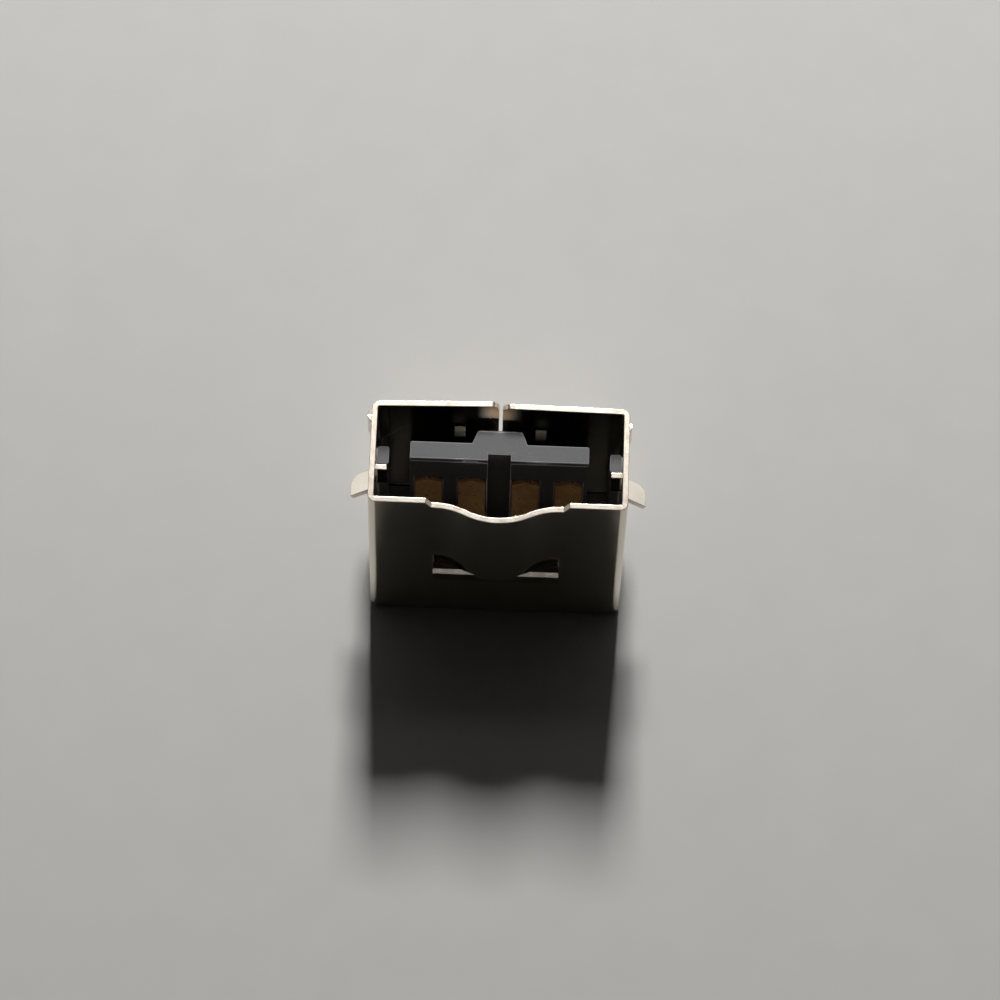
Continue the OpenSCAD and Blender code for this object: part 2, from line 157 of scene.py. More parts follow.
@dataclass(frozen=True)
class NickelPlate(Finish):
    """Bright nickel on rolled steel: a warm mirror, a little cloudy, with faint rolling lines."""

    name: str = "bright_nickel_plate"
    colour: str = "#D9D1C3"
    roughness: float = 0.13
    metallic: float = 1.0
    # Warm tan, rougher, less metallic finish of the patch beside the seam, painted as glow.
    wear_and_glow_colour: str = "#B18F6B"
    glow_roughness: float = 0.5
    glow_metallic: float = 0.35
    cloud_mm: float = 1.4
    cloud_span: tuple[float, float] = (0.35, 0.7)
    cloud_detail: float = 3.0
    cloud_roughness: float = 0.045
    # Real rolling lines are a few microns wide, so these are drawn coarser to show.
    line_mm: float = 0.07
    line_length_mm: float = 3.0
    line_depth_mm: float = 0.00035
    line_detail: float = 2.0
    # A warm tan, rough, less metallic patch on the inside of the seam wall, next to the seam's mouth, is
    # painted glow; the seam grid lamp lights it.
    glow_half_width_mm: float = 1.25
    glow_core_mm: float = 0.1
    glow_from_z_mm: float = 10.2
    glow_to_z_mm: float = 11.8
    glow_y_mm: tuple[float, float] = (2.45, 2.8)
    # One long scratch lies on the inside of the seam wall, near the left bend.
    scratch_from_mm: tuple[float, float] = (-6.2, 8.57)
    scratch_to_mm: tuple[float, float] = (-5.05, 10.04)
    scratch_half_width_mm: float = 0.03

    def glow_and_scratch(
        self, tree: bpy.types.NodeTree, place: bpy.types.NodeSocket
    ) -> tuple[bpy.types.NodeSocket, bpy.types.NodeSocket]:
        """Mark the painted glow beside the seam's mouth and the scratch on the inside of the seam wall.

        Args:
            tree: The plate's node tree.
            place: Output with Object coordinates.

        Returns:
            The share of painted glow, and how dull the plate is, the scratch included.
        """
        parts = add_node(tree, "ShaderNodeSeparateXYZ", {"Vector": place}).outputs
        off_seam = add_node(tree, "ShaderNodeMath", {0: parts["X"]}, operation="ABSOLUTE").outputs[0]
        near_seam = add_node(tree, "ShaderNodeMapRange", {
            "Value": off_seam, "From Min": self.glow_half_width_mm * MM,
            "From Max": self.glow_core_mm * MM}, interpolation_type="SMOOTHSTEP").outputs[0]
        near_mouth = add_node(tree, "ShaderNodeMapRange", {
            "Value": parts["Z"], "From Min": self.glow_from_z_mm * MM,
            "From Max": self.glow_to_z_mm * MM}, interpolation_type="SMOOTHSTEP").outputs[0]
        inner, outer = (y * MM for y in self.glow_y_mm)
        past_inner = add_node(
            tree, "ShaderNodeMath", {0: parts["Y"], 1: inner}, operation="GREATER_THAN").outputs[0]
        before_outer = add_node(
            tree, "ShaderNodeMath", {0: parts["Y"], 1: outer}, operation="LESS_THAN").outputs[0]
        inside = add_node(
            tree, "ShaderNodeMath", {0: past_inner, 1: before_outer}, operation="MULTIPLY").outputs[0]
        patch = add_node(
            tree, "ShaderNodeMath", {0: near_seam, 1: near_mouth}, operation="MULTIPLY").outputs[0]
        painted_glow = add_node(
            tree, "ShaderNodeMath", {0: patch, 1: inside}, operation="MULTIPLY").outputs[0]

        start = Vector((self.scratch_from_mm[0], 0, self.scratch_from_mm[1])) * MM
        end = Vector((self.scratch_to_mm[0], 0, self.scratch_to_mm[1])) * MM
        along = (end - start).normalized()
        across = Vector((along.z, 0, -along.x))
        run = add_node(
            tree, "ShaderNodeVectorMath", {0: place, 1: along}, operation="DOT_PRODUCT").outputs["Value"]
        side = add_node(
            tree, "ShaderNodeVectorMath", {0: place, 1: across}, operation="DOT_PRODUCT").outputs["Value"]
        on_run = add_node(tree, "ShaderNodeMath", {
            0: run, 1: (start.dot(along) + end.dot(along)) / 2, 2: (end - start).length / 2},
            operation="COMPARE").outputs[0]
        on_line = add_node(tree, "ShaderNodeMath", {
            0: side, 1: start.dot(across), 2: self.scratch_half_width_mm * MM},
            operation="COMPARE").outputs[0]
        stroke = add_node(
            tree, "ShaderNodeMath", {0: on_run, 1: on_line}, operation="MULTIPLY").outputs[0]
        scratch = add_node(
            tree, "ShaderNodeMath", {0: stroke, 1: inside}, operation="MULTIPLY").outputs[0]
        dull = add_node(
            tree, "ShaderNodeMath", {0: painted_glow, 1: scratch}, operation="MAXIMUM").outputs[0]
        return painted_glow, dull

    def material(self) -> bpy.types.Material:
        """Make the plated face, with its cloud, lines, painted glow beside the seam and scratch.

        Returns:
            The material.
        """
        material, tree, shader, place = self.begin()
        cloud = add_node(tree, "ShaderNodeTexNoise", {
            "Vector": place, "Scale": 1 / (self.cloud_mm * MM), "Detail": self.cloud_detail}).outputs[0]
        hazy = add_node(tree, "ShaderNodeMapRange", {
            "Value": cloud, "From Min": self.cloud_span[0], "From Max": self.cloud_span[1],
            "To Min": self.roughness, "To Max": self.roughness + self.cloud_roughness}).outputs[0]
        drawn = add_node(tree, "ShaderNodeMapping", {
            "Vector": place, "Scale": (1.0, 1.0, self.line_mm / self.line_length_mm)}).outputs[0]
        lines = add_node(tree, "ShaderNodeTexNoise", {
            "Vector": drawn, "Scale": 1 / (self.line_mm * MM), "Detail": self.line_detail}).outputs[0]
        relief = add_node(tree, "ShaderNodeBump", {
            "Height": lines, "Distance": self.line_depth_mm * MM, "Strength": 1.0}).outputs[0]
        painted_glow, dull = self.glow_and_scratch(tree, place)
        # The warm tan patch beside the seam is painted glow.
        tint = add_node(tree, "ShaderNodeMix", {
            SHARE: painted_glow, COLOUR_A: to_linear(self.colour), COLOUR_B: to_linear(self.wear_and_glow_colour)},
            data_type="RGBA").outputs[COLOUR_OUT]
        rough = add_node(tree, "ShaderNodeMix", {
            SHARE: dull, NUMBER_A: hazy, NUMBER_B: self.glow_roughness},
            data_type="FLOAT").outputs[NUMBER_OUT]
        glow_metal = add_node(tree, "ShaderNodeMapRange", {
            "Value": painted_glow, "To Min": self.metallic, "To Max": self.glow_metallic}).outputs[0]
        tree.links.new(tint, shader.inputs["Base Color"])
        tree.links.new(rough, shader.inputs["Roughness"])
        tree.links.new(glow_metal, shader.inputs["Metallic"])
        tree.links.new(relief, shader.inputs["Normal"])
        return material


@dataclass(frozen=True)
class PunchedEdge(Finish):
    """Plated steel edge as a punch leaves it: a mottled satin band with fine tearing across it."""

    name: str = "punched_nickel_edge"
    colour: str = "#DDD4C5"
    roughness: float = 0.15
    metallic: float = 1.0
    mottle_colour: str = "#C9B9AA"
    mottle_mm: float = 0.5
    mottle_span: tuple[float, float] = (0.45, 0.7)
    mottle_detail: float = 4.0
    tear_mm: float = 0.09
    tear_span: tuple[float, float] = (0.35, 0.7)
    tear_detail: float = 3.0
    tear_depth_mm: float = 0.0018
    tear_roughness: float = 0.06

    def material(self) -> bpy.types.Material:
        """Make the edge's material, with its mottle and tearing.

        Returns:
            The material.
        """
        material, tree, shader, place = self.begin()
        mottle = add_node(tree, "ShaderNodeTexNoise", {
            "Vector": place, "Scale": 1 / (self.mottle_mm * MM), "Detail": self.mottle_detail}).outputs[0]
        patches = add_node(tree, "ShaderNodeMapRange", {
            "Value": mottle, "From Min": self.mottle_span[0], "From Max": self.mottle_span[1]}).outputs[0]
        tint = add_node(tree, "ShaderNodeMix", {
            SHARE: patches, COLOUR_A: to_linear(self.colour), COLOUR_B: to_linear(self.mottle_colour)},
            data_type="RGBA").outputs[COLOUR_OUT]
        tears = add_node(tree, "ShaderNodeTexNoise", {
            "Vector": place, "Scale": 1 / (self.tear_mm * MM), "Detail": self.tear_detail}).outputs[0]
        relief = add_node(tree, "ShaderNodeBump", {
            "Height": tears, "Distance": self.tear_depth_mm * MM, "Strength": 1.0}).outputs[0]
        rough = add_node(tree, "ShaderNodeMapRange", {
            "Value": tears, "From Min": self.tear_span[0], "From Max": self.tear_span[1],
            "To Min": self.roughness, "To Max": self.roughness + self.tear_roughness}).outputs[0]
        tree.links.new(tint, shader.inputs["Base Color"])
        tree.links.new(rough, shader.inputs["Roughness"])
        tree.links.new(relief, shader.inputs["Normal"])
        return material


@dataclass(frozen=True)
class TornEdge(PunchedEdge):
    """Steel edge torn in bending: a dull tan grain that scatters light more than it mirrors it."""

    name: str = "torn_steel_edge"
    colour: str = "#D8CBB8"
    roughness: float = 0.5
    metallic: float = 0.3
    mottle_colour: str = "#B5A490"
    mottle_mm: float = 0.12
    tear_depth_mm: float = 0.006


@dataclass(frozen=True)
class FilledResin(Finish):
    """Black glass-filled resin, moulded: a matt dark grey with fibre specks and a fine grain."""

    name: str = "black_glass_filled_resin"
    colour: str = "#1D1C1E"
    roughness: float = 0.55
    wear_and_sheen_roughness: float = 0.4
    ior: float = 1.6
    pale_colour: str = "#252426"
    fibre_colour: str = "#5C5B5E"
    # Rounded edges are painted paler, partly worn and partly painted highlight; up-facing ends a little
    # paler as painted sheen.
    wear_and_sheen_colour: str = "#85848A"
    cloud_mm: float = 1.8
    cloud_detail: float = 4.0
    # The mould's grain is about 0.02 mm, so it is drawn coarser to show.
    grain_mm: float = 0.05
    grain_span: tuple[float, float] = (0.3, 0.7)
    grain_detail: float = 2.0
    grain_depth_mm: float = 0.0012
    grain_roughness: tuple[float, float] = (-0.05, 0.1)
    fibre_mm: float = 0.16
    fibre_span: tuple[float, float] = (0.16, 0.06)

    def material(self) -> bpy.types.Material:
        """Make the resin, with its grain, fibres, and paler edges and ends that are partly worn and
        partly painted highlight and sheen.

        Returns:
            The material.
        """
        material, tree, shader, place = self.begin()
        shader.inputs["IOR"].default_value = self.ior
        cloud = add_node(tree, "ShaderNodeTexNoise", {
            "Vector": place, "Scale": 1 / (self.cloud_mm * MM), "Detail": self.cloud_detail}).outputs[0]
        body = add_node(tree, "ShaderNodeMix", {
            SHARE: cloud, COLOUR_A: to_linear(self.colour), COLOUR_B: to_linear(self.pale_colour)},
            data_type="RGBA").outputs[COLOUR_OUT]
        cells = add_node(tree, "ShaderNodeTexVoronoi", {
            "Vector": place, "Scale": 1 / (self.fibre_mm * MM), "Randomness": 1.0}).outputs["Distance"]
        specks = add_node(tree, "ShaderNodeMapRange", {
            "Value": cells, "From Min": self.fibre_span[0], "From Max": self.fibre_span[1]}).outputs[0]
        speckled = add_node(tree, "ShaderNodeMix", {
            SHARE: specks, COLOUR_A: body, COLOUR_B: to_linear(self.fibre_colour)},
            data_type="RGBA").outputs[COLOUR_OUT]
        # Paler where the layer is set: worn rounded edges with painted highlight, and up-facing ends with
        # painted sheen.
        edge = add_node(tree, "ShaderNodeAttribute", attribute_name=WEAR_AND_SHEEN).outputs["Fac"]
        paler = add_node(tree, "ShaderNodeMix", {
            SHARE: edge, COLOUR_A: speckled, COLOUR_B: to_linear(self.wear_and_sheen_colour)},
            data_type="RGBA").outputs[COLOUR_OUT]
        grain = add_node(tree, "ShaderNodeTexNoise", {
            "Vector": place, "Scale": 1 / (self.grain_mm * MM), "Detail": self.grain_detail}).outputs[0]
        relief = add_node(tree, "ShaderNodeBump", {
            "Height": grain, "Distance": self.grain_depth_mm * MM, "Strength": 1.0}).outputs[0]
        matt = add_node(tree, "ShaderNodeMapRange", {
            "Value": grain, "From Min": self.grain_span[0], "From Max": self.grain_span[1],
            "To Min": self.roughness + self.grain_roughness[0],
            "To Max": self.roughness + self.grain_roughness[1]}).outputs[0]
        rough = add_node(tree, "ShaderNodeMix", {
            SHARE: edge, NUMBER_A: matt, NUMBER_B: self.wear_and_sheen_roughness},
            data_type="FLOAT").outputs[NUMBER_OUT]
        tree.links.new(paler, shader.inputs["Base Color"])
        tree.links.new(rough, shader.inputs["Roughness"])
        tree.links.new(relief, shader.inputs["Normal"])
        return material


@dataclass(frozen=True)
class GoldFlash(Finish):
    """Thin gold on copper alloy strip, a little tarnished: a soft sheen that wears to copper."""

    name: str = "gold_flashed_copper_alloy"
    colour: str = "#C9A16F"
    roughness: float = 0.28
    metallic: float = 0.75
    wear_and_glow_colour: str = "#A97B55"
    cloud_mm: float = 0.7
    cloud_span: tuple[float, float] = (0.3, 0.7)
    cloud_detail: float = 3.0
    cloud_roughness: tuple[float, float] = (-0.04, 0.08)
    thin_span: tuple[float, float] = (0.5, 0.8)
    thin_share: float = 0.6
    # Real drawing lines are a few microns wide, so these are drawn coarser to show.
    line_mm: float = 0.06
    line_length_mm: float = 2.0
    line_depth_mm: float = 0.0006
    line_detail: float = 2.0

    def material(self) -> bpy.types.Material:
        """Make the gilt strip, with its drawn lines and worn edges.

        Returns:
            The material.
        """
        material, tree, shader, place = self.begin()
        cloud = add_node(tree, "ShaderNodeTexNoise", {
            "Vector": place, "Scale": 1 / (self.cloud_mm * MM), "Detail": self.cloud_detail}).outputs[0]
        thin = add_node(tree, "ShaderNodeMapRange", {
            "Value": cloud, "From Min": self.thin_span[0], "From Max": self.thin_span[1],
            "To Max": self.thin_share}).outputs[0]
        edge = add_node(tree, "ShaderNodeAttribute", attribute_name=WEAR_AND_SHEEN).outputs["Fac"]
        worn = add_node(tree, "ShaderNodeMath", {0: thin, 1: edge}, operation="MAXIMUM").outputs[0]
        tint = add_node(tree, "ShaderNodeMix", {
            SHARE: worn, COLOUR_A: to_linear(self.colour), COLOUR_B: to_linear(self.wear_and_glow_colour)},
            data_type="RGBA").outputs[COLOUR_OUT]
        drawn = add_node(tree, "ShaderNodeMapping", {
            "Vector": place, "Scale": (1.0, 1.0, self.line_mm / self.line_length_mm)}).outputs[0]
        lines = add_node(tree, "ShaderNodeTexNoise", {
            "Vector": drawn, "Scale": 1 / (self.line_mm * MM), "Detail": self.line_detail}).outputs[0]
        relief = add_node(tree, "ShaderNodeBump", {
            "Height": lines, "Distance": self.line_depth_mm * MM, "Strength": 1.0}).outputs[0]
        rough = add_node(tree, "ShaderNodeMapRange", {
            "Value": cloud, "From Min": self.cloud_span[0], "From Max": self.cloud_span[1],
            "To Min": self.roughness + self.cloud_roughness[0],
            "To Max": self.roughness + self.cloud_roughness[1]}).outputs[0]
        tree.links.new(tint, shader.inputs["Base Color"])
        tree.links.new(rough, shader.inputs["Roughness"])
        tree.links.new(relief, shader.inputs["Normal"])
        return material


@dataclass(frozen=True)
class PaleCard(Finish):
    """Uncoated pale card: a matt light grey with a soft mottle."""

    name: str = "pale_uncoated_card"
    colour: str = "#C6C4C1"
    roughness: float = 0.9
    dark_colour: str = "#C0BEBB"
    mottle_mm: float = 3.0
    mottle_detail: float = 4.0

    def material(self) -> bpy.types.Material:
        """Make the floor's material, with its mottle.

        Returns:
            The material.
        """
        material, tree, shader, place = self.begin()
        mottle = add_node(tree, "ShaderNodeTexNoise", {
            "Vector": place, "Scale": 1 / (self.mottle_mm * MM), "Detail": self.mottle_detail}).outputs[0]
        tint = add_node(tree, "ShaderNodeMix", {
            SHARE: mottle, COLOUR_A: to_linear(self.dark_colour), COLOUR_B: to_linear(self.colour)},
            data_type="RGBA").outputs[COLOUR_OUT]
        tree.links.new(tint, shader.inputs["Base Color"])
        return material


@cache
def material_of(finish: Finish) -> bpy.types.Material:
    """Return the finish's material, made once."""
    return finish.material()


@dataclass
class Piece:
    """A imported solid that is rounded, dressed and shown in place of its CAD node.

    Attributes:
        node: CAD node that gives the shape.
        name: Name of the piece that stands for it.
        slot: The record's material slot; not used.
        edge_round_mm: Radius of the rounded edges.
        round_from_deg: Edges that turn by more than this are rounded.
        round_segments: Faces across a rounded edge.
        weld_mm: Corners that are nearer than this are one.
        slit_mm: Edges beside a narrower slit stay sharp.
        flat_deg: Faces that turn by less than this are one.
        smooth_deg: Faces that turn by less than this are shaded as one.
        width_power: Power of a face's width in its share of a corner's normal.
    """

    node: str
    name: str
    slot: Slot
    edge_round_mm: float
    round_from_deg: float = 30.0
    round_segments: int = 2
    weld_mm: float = 0.0002
    slit_mm: float = 0.1
    flat_deg: float = 0.3
    smooth_deg: float = 48.0
    width_power: int = 3

    def merged_copy(self) -> bmesh.types.BMesh:
        """Copy the node's mesh as one closed skin with whole flat faces.

        Returns:
            The skin.
        """
        skin = bmesh.new()
        skin.from_mesh(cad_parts[self.node].data)
        bmesh.ops.remove_doubles(skin, verts=skin.verts[:], dist=self.weld_mm * MM)
        bmesh.ops.dissolve_limit(
            skin, angle_limit=math.radians(self.flat_deg), use_dissolve_boundaries=False,
            verts=skin.verts[:], edges=skin.edges[:], delimit=set())
        return skin

    def round_edges(self, skin: bmesh.types.BMesh) -> None:
        """Round the outward edges and mark the new faces as worn edges, which the resin also paints paler
        as a highlight.

        Args:
            skin: The piece's mesh.
        """
        wear_and_sheen = skin.faces.layers.float[WEAR_AND_SHEEN]
        limit = math.radians(self.round_from_deg)
        solid = BVHTree.FromBMesh(skin)
        edges = [
            e for e in skin.edges
            if e.is_manifold and e.calc_face_angle_signed() > limit and not self.beside_slit(e, solid)]
        made = bmesh.ops.bevel(
            skin, geom=edges, offset=self.edge_round_mm * MM, offset_type="OFFSET", affect="EDGES",
            segments=self.round_segments, profile=0.5, clamp_overlap=False, material=-1)
        for face in made["faces"]:
            face[wear_and_sheen] = 1.0
        bmesh.ops.remove_doubles(skin, verts=skin.verts[:], dist=self.weld_mm * MM)

    def beside_slit(self, edge: bmesh.types.BMEdge, solid: BVHTree) -> bool:
        """Say whether one of an edge's faces looks across a slit too narrow for round edges.

        Args:
            edge: An outward edge of the piece.
            solid: The piece's faces, for casting rays.

        Returns:
            True where the edge has to stay sharp.
        """
        middle = (edge.verts[0].co + edge.verts[1].co) / 2
        for loop in edge.link_loops:
            normal = loop.face.normal
            start = middle + (loop.calc_tangent() + normal) * self.weld_mm * MM
            if solid.ray_cast(start, normal, self.slit_mm * MM)[0] is not None:
                return True
        return False

    def level_flats(self, mesh: bpy.types.Mesh) -> None:
        """Let the widest faces round a corner set its normal, so that flats mirror as flats do.

        The modifier for weighted normals does not act on faces as small as these.

        Args:
            mesh: The piece's finished mesh.
        """
        mesh.shade_smooth()
        mesh.set_sharp_from_angle(angle=math.radians(self.smooth_deg))
        limit = math.cos(math.radians(self.smooth_deg))
        faces: list[tuple[Vector, float]] = []
        around: list[list[int]] = [[] for _ in mesh.vertices]
        for face in mesh.polygons:
            points = [mesh.vertices[i].co / MM for i in face.vertices]
            perimeter = sum((a - b).length for a, b in zip(points, points[1:] + points[:1]))
            width = narrow_side(perimeter, face.area / MM ** 2)
            faces.append((face.normal.copy(), width ** self.width_power))
            for vertex in face.vertices:
                around[vertex].append(face.index)
        corners = [Vector()] * len(mesh.loops)
        for face in mesh.polygons:
            own = faces[face.index][0]
            for corner, vertex in zip(face.loop_indices, face.vertices):
                near = [faces[i] for i in around[vertex] if faces[i][0].dot(own) > limit]
                corners[corner] = sum((n * weight for n, weight in near), Vector()).normalized()
        mesh.normals_split_custom_set(corners)

    def dress(self, skin: bmesh.types.BMesh) -> list[Finish]:
        """Choose the finishes and which face takes which.

        Args:
            skin: The piece's mesh before its edges are rounded.

        Returns:
            The finishes, in the order of the faces' material numbers.
        """
        raise NotImplementedError

    def build(self) -> bpy.types.Object:
        """Make the piece and hand it to the frame.

        Returns:
            The finished object.
        """
        skin = self.merged_copy()
        skin.faces.layers.float.new(WEAR_AND_SHEEN)
        finishes = self.dress(skin)
        self.round_edges(skin)
        mesh = bpy.data.meshes.new(self.name)
        skin.to_mesh(mesh)
        skin.free()
        for finish in finishes:
            mesh.materials.append(material_of(finish))
        self.level_flats(mesh)
        piece = bpy.data.objects.new(self.name, mesh)
        bpy.context.scene.collection.objects.link(piece)
        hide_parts(self.node)
        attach(piece, BODY)
        log.info("%s: %d faces", self.name, len(mesh.polygons))
        return piece


@dataclass
class FoldedShell(Piece):
    """The folded sheet: plated faces, a satin band where it was punched, and torn corners.

    Attributes:
        sheet_mm: Thickness of the sheet, and so the width of its punched edges.
        sheet_slack_mm: How far such a width may be off.
        sharp_rad: Turn at the sides of a punched edge.
        mouth_from_mm: Height above which a face belongs to the mouth's rim.
        stop_from_y_mm: Place behind which a face belongs to the seam wall.
        stop_slope: Least share of a stop's normal along each of its two axes.
        lip_rise: Upward share of the normal where the rim begins to slope.
        torn_rise: Upward share of the normal where the sheet tore.
        torn_lean: Least sideways share of the normal there.
    """

    node: str = "shell"
    name: str = "folded_shell"
    slot: Slot = Slot.SHELL
    edge_round_mm: float = 0.03
    sheet_mm: float = 0.3
    sheet_slack_mm: float = 0.03
    sharp_rad: float = math.radians(45.0)
    mouth_from_mm: float = 11.5
    stop_from_y_mm: float = 2.0
    stop_slope: float = 0.6
    lip_rise: tuple[float, float] = (0.9, 0.999)
    torn_rise: tuple[float, float] = (0.3, 0.9)
    torn_lean: float = 0.4

    def is_punched(self, face: bmesh.types.BMFace) -> bool:
        """Say whether a face is as narrow as the sheet is thick and turns sharply at its sides.

        Args:
            face: A whole flat face.

        Returns:
            True for an edge of the sheet, and False for a facet of a bend.
        """
        around = face.calc_perimeter()
        width = narrow_side(around, face.calc_area())
        sharp = sum(e.calc_length() for e in face.edges if e.calc_face_angle(0.0) > self.sharp_rad)
        return abs(width - self.sheet_mm * MM) < self.sheet_slack_mm * MM and sharp > around / 2

    def is_stop(self, face: bmesh.types.BMFace) -> bool:
        """Say whether a face is the slope of one of the two stops that the press pushed in."""
        slopes = face.normal.y < -self.stop_slope and face.normal.z > self.stop_slope
        return slopes and face.calc_center_median().y > self.stop_from_y_mm * MM

    def is_lip(self, face: bmesh.types.BMFace) -> bool:
        """Say whether a face is where the mouth's rim begins to round off towards the seam."""
        slopes = self.lip_rise[0] <= face.normal.z < self.lip_rise[1]
        return slopes and min(v.co.z for v in face.verts) > self.mouth_from_mm * MM

    def is_torn(self, face: bmesh.types.BMFace) -> bool:
        """Say whether a face slopes steeply off the mouth's rim, at its step or its seam.

        Args:
            face: A whole flat face.

        Returns:
            True where the sheet tore.
        """
        rises = self.torn_rise[0] < face.normal.z < self.torn_rise[1]
        slopes = rises and abs(face.normal.x) > self.torn_lean
        return slopes and min(v.co.z for v in face.verts) > self.mouth_from_mm * MM

    def dress(self, skin: bmesh.types.BMesh) -> list[Finish]:
        """Plate the faces, leave punched edges and pushed-in stops satin, and torn edges dull.

        Args:
            skin: The shell's mesh before its edges are rounded.

        Returns:
            The plate, the punched edge and the torn edge.
        """
        punched, torn = 1, 2
        for face in skin.faces:
            if self.is_torn(face):
                face.material_index = torn
            elif self.is_punched(face) or self.is_stop(face) or self.is_lip(face):
                face.material_index = punched
        return [NickelPlate(), PunchedEdge(), TornEdge()]


@dataclass
class Insulator(Piece):
    """The moulded block with its tongue, ridge, groove and rails.

    Attributes:
        sheen_above_mm: Height above which up-facing ends are painted paler as sheen.
        sheen_rise: Least upward share of an end's normal.
        sheen_share: How much paler the ends are painted, as sheen.
    """

    node: str = "housing"
    name: str = "moulded_insulator"
    slot: Slot = Slot.HOUSING
    edge_round_mm: float = 0.03
    sheen_above_mm: float = 10.0
    sheen_rise: float = 0.9
    sheen_share: float = 0.06

    def dress(self, skin: bmesh.types.BMesh) -> list[Finish]:
        """Mould it in one resin, with the up-facing ends of tongue and rails painted a little paler as
        sheen.

        Args:
            skin: The insulator's mesh before its edges are rounded.

        Returns:
            The resin alone.
        """
        wear_and_sheen = skin.faces.layers.float[WEAR_AND_SHEEN]
        for face in skin.faces:
            # Up-facing ends take painted sheen.
            high = face.calc_center_median().z > self.sheen_above_mm * MM
            if high and face.normal.z > self.sheen_rise:
                face[wear_and_sheen] = self.sheen_share
        return [FilledResin()]


@dataclass
class SprungContact(Piece):
    """One gilt strip on the tongue, with its solder tail."""

    slot: Slot = Slot.CONTACT
    edge_round_mm: float = 0.025

    def dress(self, skin: bmesh.types.BMesh) -> list[Finish]:
        """Gild the whole strip."""
        return [GoldFlash()]


@dataclass
class ContactRow:
    """The four contacts, side by side on the tongue."""

    places: tuple[str, ...] = ("outer_left", "inner_left", "inner_right", "outer_right")

    def build(self) -> list[bpy.types.Object]:
        """Make all four and return them."""
        return [SprungContact(f"{place}_contact", f"{place}_spring").build() for place in self.places]


@dataclass(frozen=True)
class Softbox:
    """A soft rectangular lamp, as bright all over as its radiance, where 1 is white.

    Its width lies along the circle round the socket's Y axis, on which rounded corners of the mouth
    mirror the room. A small spread stands for a honeycomb grid that keeps its light in a beam.

    Attributes:
        azimuth_deg: Turn from straight behind the socket, towards its right side.
        elevation_deg: Height above the floor.
        width: Size along that circle, in metres.
        height: Size across it, in metres.
        radiance: Brightness of its face.
        distance: Metres from its target.
        target_mm: Point that it faces.
        spread_deg: Width of its beam.
    """

    name: str
    azimuth_deg: float
    elevation_deg: float
    width: float
    height: float
    radiance: float
    distance: float = 0.3
    target_mm: tuple[float, float, float] = (0.0, 0.0, 6.2)
    spread_deg: float = 180.0

    def build(self) -> bpy.types.Object:
        """Hang the lamp.

        Returns:
            The lamp.
        """
        azimuth, elevation = math.radians(self.azimuth_deg), math.radians(self.elevation_deg)
        away = Vector((
            math.sin(azimuth) * math.cos(elevation), math.cos(azimuth) * math.cos(elevation),
            math.sin(elevation)))
        along = away.cross(Vector((0.0, 1.0, 0.0))).normalized()
        turn = Matrix((along, away.cross(along), away)).transposed()
        light = bpy.data.lights.new(self.name, "AREA")
        light.shape = "RECTANGLE"
        light.size = self.width
        light.size_y = self.height
        light.energy = self.radiance * math.pi * self.width * self.height
        light.spread = math.radians(self.spread_deg)
        lamp = bpy.data.objects.new(self.name, light)
        place = Vector(self.target_mm) * MM + away * self.distance
        lamp.matrix_world = Matrix.Translation(place) @ turn.to_4x4()
        lamp.visible_camera = False
        bpy.context.scene.collection.objects.link(lamp)
        return lamp


@dataclass
class Viewpoint:
    """The camera: steeply above the keyed wall, a little turned about its own line of sight."""

    azimuth_deg: float = 0.245
    elevation_deg: float = 63.57
    roll_deg: float = 1.885
    distance_mm: float = 222.0
    sensor_mm: float = 36.0
    lens_mm: float = 154.45
    target_mm: tuple[float, float, float] = (0.0, 0.0, 6.2)
    # The socket's middle stands a little left of and below the picture's middle.
    aim_right_mm: float = 0.116
    aim_up_mm: float = 0.486
    clip: tuple[float, float] = (0.01, 10.0)

    def build(self) -> bpy.types.Object:
        """Make the camera and give it to the scene.

        Returns:
            The camera.
        """
        azimuth, elevation = math.radians(self.azimuth_deg), math.radians(self.elevation_deg)
        back = Vector((
            math.sin(azimuth) * math.cos(elevation), -math.cos(azimuth) * math.cos(elevation),
            math.sin(elevation)))
        level = Vector((math.cos(azimuth), math.sin(azimuth), 0.0))
        roll = Matrix.Rotation(-math.radians(self.roll_deg), 3, -back)
        right = roll @ level
        upward = back.cross(right)
        aim = Vector(self.target_mm) + right * self.aim_right_mm + upward * self.aim_up_mm
        lens = bpy.data.cameras.new("viewpoint")
        lens.sensor_width = self.sensor_mm
        lens.lens = self.lens_mm
        lens.clip_start, lens.clip_end = self.clip
        camera = bpy.data.objects.new("viewpoint", lens)
        turn = Matrix((right, upward, back)).transposed()
        camera.matrix_world = Matrix.Translation((aim + back * self.distance_mm) * MM) @ turn.to_4x4()
        bpy.context.scene.collection.objects.link(camera)
        bpy.context.scene.camera = camera
        return camera


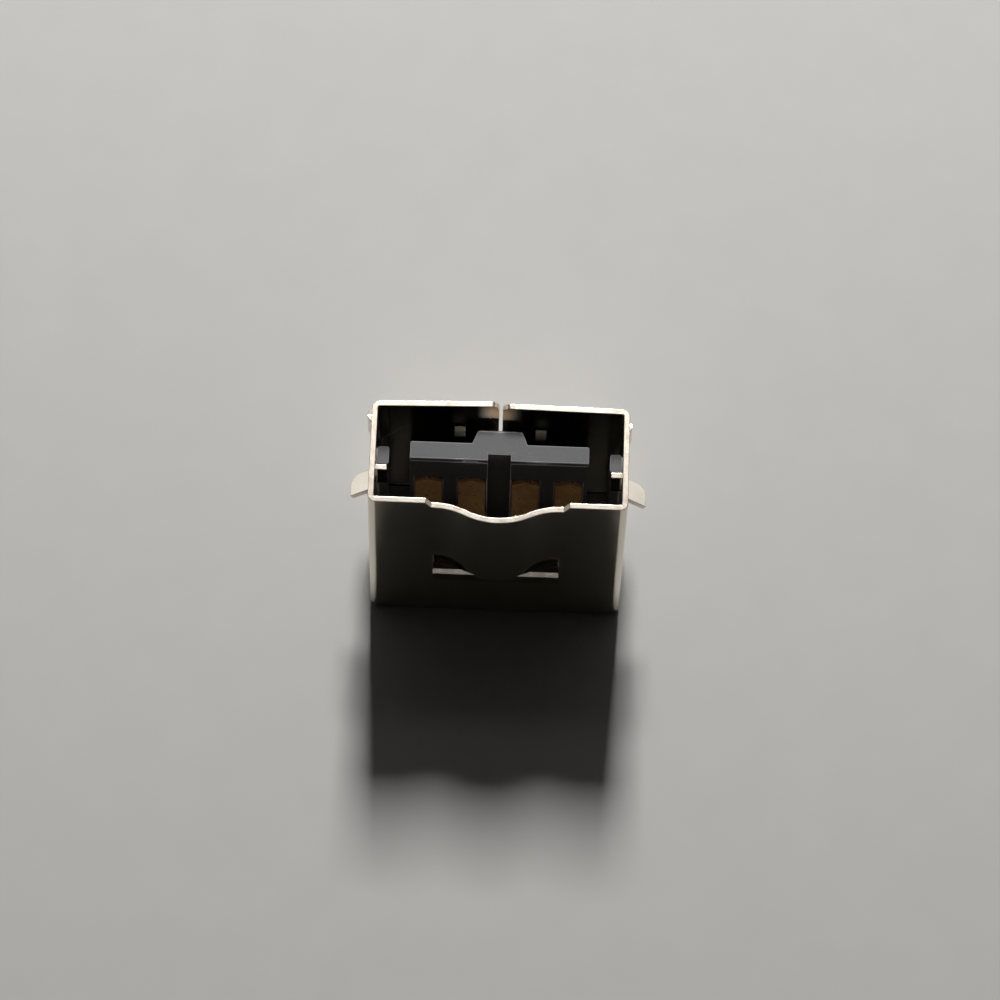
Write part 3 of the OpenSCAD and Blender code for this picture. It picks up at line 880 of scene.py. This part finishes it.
@dataclass
class Studio:
    """The pale floor, the soft lamps round the socket and the dim room."""

    floor_half: float = 0.6
    room_colour: str = "#E6E4E0"
    # The half of the room behind the socket, and the foot of the room's walls all round it.
    back_light: float = 0.24
    back_y: tuple[float, float] = (0.5, 0.72)
    foot_light: float = 0.014
    foot_z: tuple[float, float] = (0.42, 0.3)
    # Each has its name, azimuth, elevation, width, height and radiance, and a grid also has its
    # distance, target and spread. Cards and strips are there for the faces that mirror them, and a
    # grid lights one spot.
    lamps: tuple[Softbox, ...] = (
        Softbox("key_softbox", 0.0, 46.0, 0.04, 0.08, 100.0),
        Softbox("mouth_card", 0.0, 63.8, 0.13, 0.028, 0.9),
        Softbox("left_tab_card", -63.0, 6.0, 0.05, 0.07, 1.3),
        Softbox("right_tab_card", 63.0, 6.0, 0.05, 0.07, 1.15),
        Softbox("left_corner_strip", -51.3, 44.4, 0.3, 0.024, 0.4),
        Softbox("right_corner_strip", 51.3, 44.4, 0.3, 0.024, 0.4),
        Softbox("leg_card", 0.0, 9.0, 0.06, 0.03, 1.2),
        Softbox("top_card", 180.0, 82.0, 0.036, 0.024, 0.7),
        Softbox("zenith_card", 0.0, 88.0, 0.06, 0.05, 0.16),
        Softbox("stop_grid", 180.0, 31.0, 0.0055, 0.0008, 0.12, 0.06, (0.0, 2.36, 9.95), 2.0),
        Softbox("seam_grid", 180.0, 15.0, 0.0024, 0.0012, 1.2, 0.06, (-0.8, 2.65, 11.6), 2.0),
    )

    def build(self) -> None:
        """Set the floor, hang the lamps and fill the room."""
        skin = bmesh.new()
        bmesh.ops.create_grid(skin, x_segments=1, y_segments=1, size=self.floor_half)
        mesh = bpy.data.meshes.new("floor")
        skin.to_mesh(mesh)
        skin.free()
        mesh.materials.append(material_of(PaleCard()))
        floor = bpy.data.objects.new("floor", mesh)
        bpy.context.scene.collection.objects.link(floor)
        for lamp in self.lamps:
            lamp.build()
        self.fill_room()
        bpy.context.scene.view_settings.view_transform = "Standard"

    def fill_room(self) -> None:
        """Light the back of the room softly and leave its front dark, so that the keyed wall is dark."""
        world = bpy.data.worlds.new("room")
        world.use_nodes = True
        tree = world.node_tree
        shader = tree.nodes["Background"]
        shader.inputs["Color"].default_value = to_linear(self.room_colour)
        way = add_node(tree, "ShaderNodeTexCoord").outputs["Generated"]
        parts = add_node(tree, "ShaderNodeSeparateXYZ", {"Vector": way}).outputs
        back = add_node(tree, "ShaderNodeMapRange", {
            "Value": parts["Y"], "From Min": self.back_y[0], "From Max": self.back_y[1],
            "To Max": self.back_light}, interpolation_type="SMOOTHSTEP").outputs[0]
        foot = add_node(tree, "ShaderNodeMapRange", {
            "Value": parts["Z"], "From Min": self.foot_z[0], "From Max": self.foot_z[1],
            "To Max": self.foot_light}, interpolation_type="SMOOTHSTEP").outputs[0]
        level = add_node(tree, "ShaderNodeMath", {0: back, 1: foot}, operation="MAXIMUM").outputs[0]
        tree.links.new(level, shader.inputs["Strength"])
        bpy.context.scene.world = world


def main() -> None:
    """Build the socket's pieces and the studio round them, and note their size."""
    logging.basicConfig(level=logging.INFO, format="%(name)s: %(message)s")
    FoldedShell().build()
    Insulator().build()
    ContactRow().build()
    Studio().build()
    Viewpoint().build()
    bpy.context.view_layer.update()


if __name__ == "__main__":
    main()
